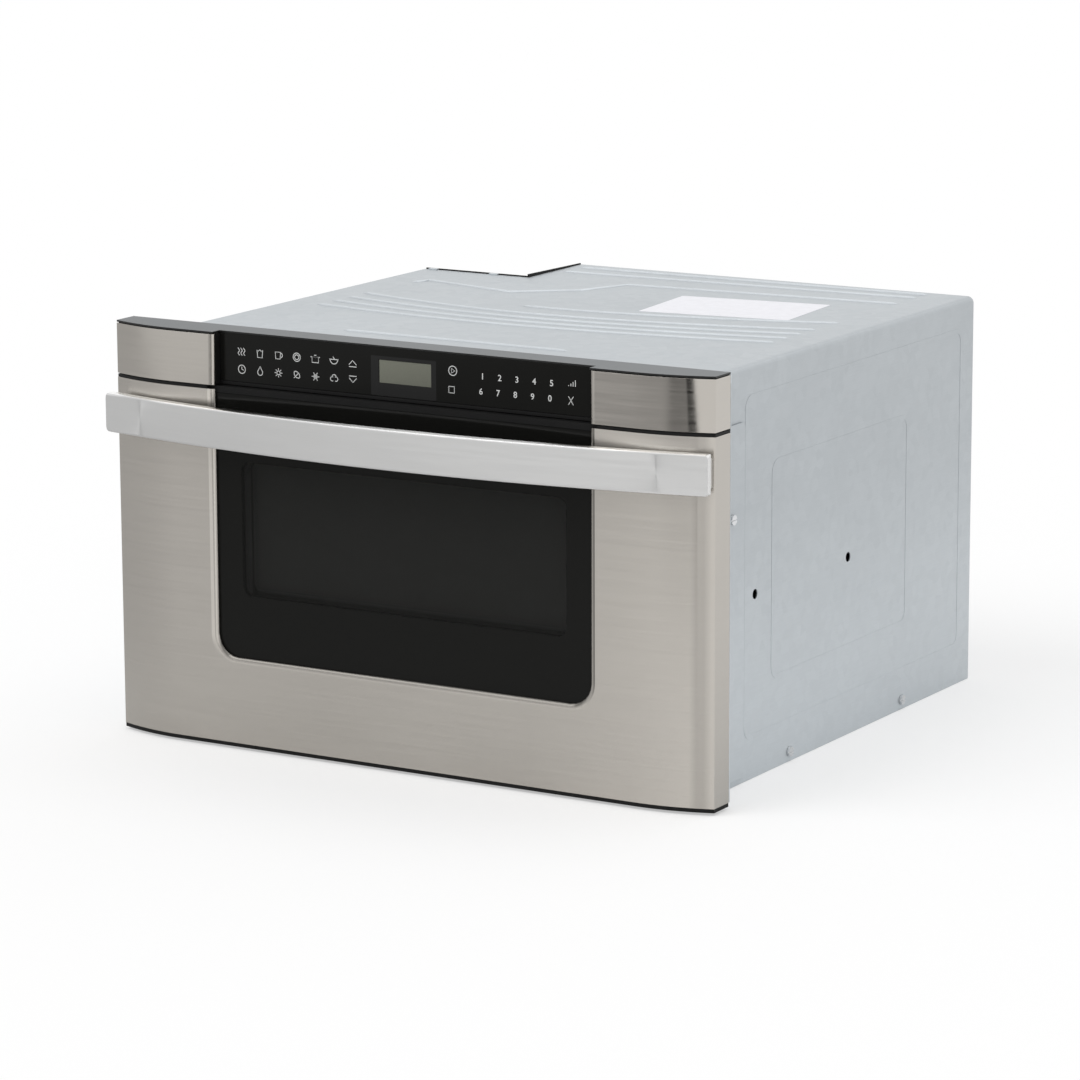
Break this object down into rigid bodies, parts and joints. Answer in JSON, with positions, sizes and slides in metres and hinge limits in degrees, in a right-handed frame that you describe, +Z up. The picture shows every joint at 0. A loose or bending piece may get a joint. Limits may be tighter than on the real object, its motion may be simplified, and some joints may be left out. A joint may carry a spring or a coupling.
{
  "type": "microwave drawer",
  "caption": "Built-in microwave oven with a motor-driven drawer front: bowed stainless front with a black window, bar handle, control strip above and galvanised box behind.",
  "frame": {"origin": "middle of the footprint, in the plane of the base's underside", "axes": "+X to the right seen from the front, +Y to the back, +Z up; the drawer opens towards -Y"},
  "size_m": [0.6102, 0.6094, 0.3738],
  "materials": {
    "stainless_skin": "vertically brushed satin, warm grey",
    "handle_metal": "satin",
    "galvanised_sheet": "galvanised, dull satin",
    "frame_paint": "grey, satin",
    "black_glass": "polished black",
    "black_plastic": "fine grain",
    "display_face": "grey-olive liquid crystal face",
    "circuit_board": "green laminate",
    "zinc_rail": "zinc plated",
    "plain_steel": "bright",
    "white_ceramic": "smooth off-white",
    "copper_winding": "varnished copper",
    "rubber": "matte",
    "nylon_gear": "off-white nylon",
    "lamp_glass": "frosted warm white",
    "screen_metal": "black perforated sheet"
  },
  "bodies": {
    "root": {"outer_cover": "galvanised_sheet", "base_pan": "galvanised_sheet", "notch_edge_trim": "black_plastic", "rear_panel": "galvanised_sheet", "cord_gland": "rubber", "front_frame": "galvanised_sheet", "top_cap": "frame_paint", "fascia_end_left": "stainless_skin", "fascia_end_right": "stainless_skin", "control_housing": "black_plastic", "control_glass": "black_glass", "control_board": "circuit_board", "display_module": "display_face", "oven_cavity": "galvanised_sheet", "oven_lamp": "lamp_glass", "ceiling_cover": "white_ceramic", "waveguide": "galvanised_sheet", "magnetron": "plain_steel", "antenna_motor": "plain_steel", "transformer": "copper_winding", "capacitor": "plain_steel", "fan_housing": "black_plastic", "fan_motor": "plain_steel", "drive_motor": "black_plastic", "outer_rail_left": "zinc_rail", "interlock_switch_left": "black_plastic", "cover_screw_left_base_1": "plain_steel", "cover_screw_left_base_2": "plain_steel", "cover_screw_left_front": "plain_steel", "outer_rail_right": "zinc_rail", "interlock_switch_right": "black_plastic", "cover_screw_right_base_1": "plain_steel", "cover_screw_right_base_2": "plain_steel", "cover_screw_right_front": "plain_steel"},
    "drawer": {"door_outer_panel": "stainless_skin", "window_glass": "black_glass", "door_top_trim": "black_plastic", "door_bottom_trim": "black_plastic", "door_inner_frame": "black_plastic", "choke_ring": "black_plastic", "window_screen": "screen_metal", "inner_window_pane": "black_glass", "handle_bar": "handle_metal", "drawer_tub": "galvanised_sheet", "tub_floor_plate": "white_ceramic", "drive_rack": "nylon_gear", "drawer_rail_left": "zinc_rail", "latch_hook_left": "nylon_gear", "handle_post_left": "handle_metal", "handle_screw_left": "plain_steel", "drawer_rail_right": "zinc_rail", "latch_hook_right": "nylon_gear", "handle_post_right": "handle_metal", "handle_screw_right": "plain_steel"},
    "middle_rail_left": {"middle_rail_left": "zinc_rail"},
    "middle_rail_right": {"middle_rail_right": "zinc_rail"},
    "drive_pinion": {"drive_pinion": "nylon_gear"},
    "fan_impeller": {"fan_impeller": "black_plastic"},
    "stirrer_antenna": {"stirrer_antenna": "zinc_rail"}
  },
  "joints": [
    {"name": "drawer_slide", "type": "slide", "parent": "root", "child": "drawer", "axis": [0, -1, 0], "range_m": [0, 0.39]},
    {"name": "middle_rail_left_slide", "type": "slide", "parent": "root", "child": "middle_rail_left", "axis": [0, -1, 0], "range_m": [0, 0.195]},
    {"name": "middle_rail_right_slide", "type": "slide", "parent": "root", "child": "middle_rail_right", "axis": [0, -1, 0], "range_m": [0, 0.195]},
    {"name": "pinion_spin", "type": "hinge", "parent": "root", "child": "drive_pinion", "pos_m": [0.2444, -0.19865, 0.0721], "axis": [1, 0, 0], "range_deg": [0, 1863]},
    {"name": "fan_spin", "type": "hinge", "parent": "root", "child": "fan_impeller", "pos_m": [-0.072, 0.28635, 0.2], "axis": [0, 1, 0], "continuous": true},
    {"name": "stirrer_spin", "type": "hinge", "parent": "root", "child": "stirrer_antenna", "pos_m": [0, -0.01765, 0.262], "axis": [0, 0, 1], "continuous": true}
  ],
  "couplings": [
    {"joint": "middle_rail_left_slide", "follows": "drawer_slide", "ratio": 0.5},
    {"joint": "middle_rail_right_slide", "follows": "drawer_slide", "ratio": 0.5},
    {"joint": "pinion_spin", "follows": "drawer_slide", "rad_per_m": 83.333}
  ]
}
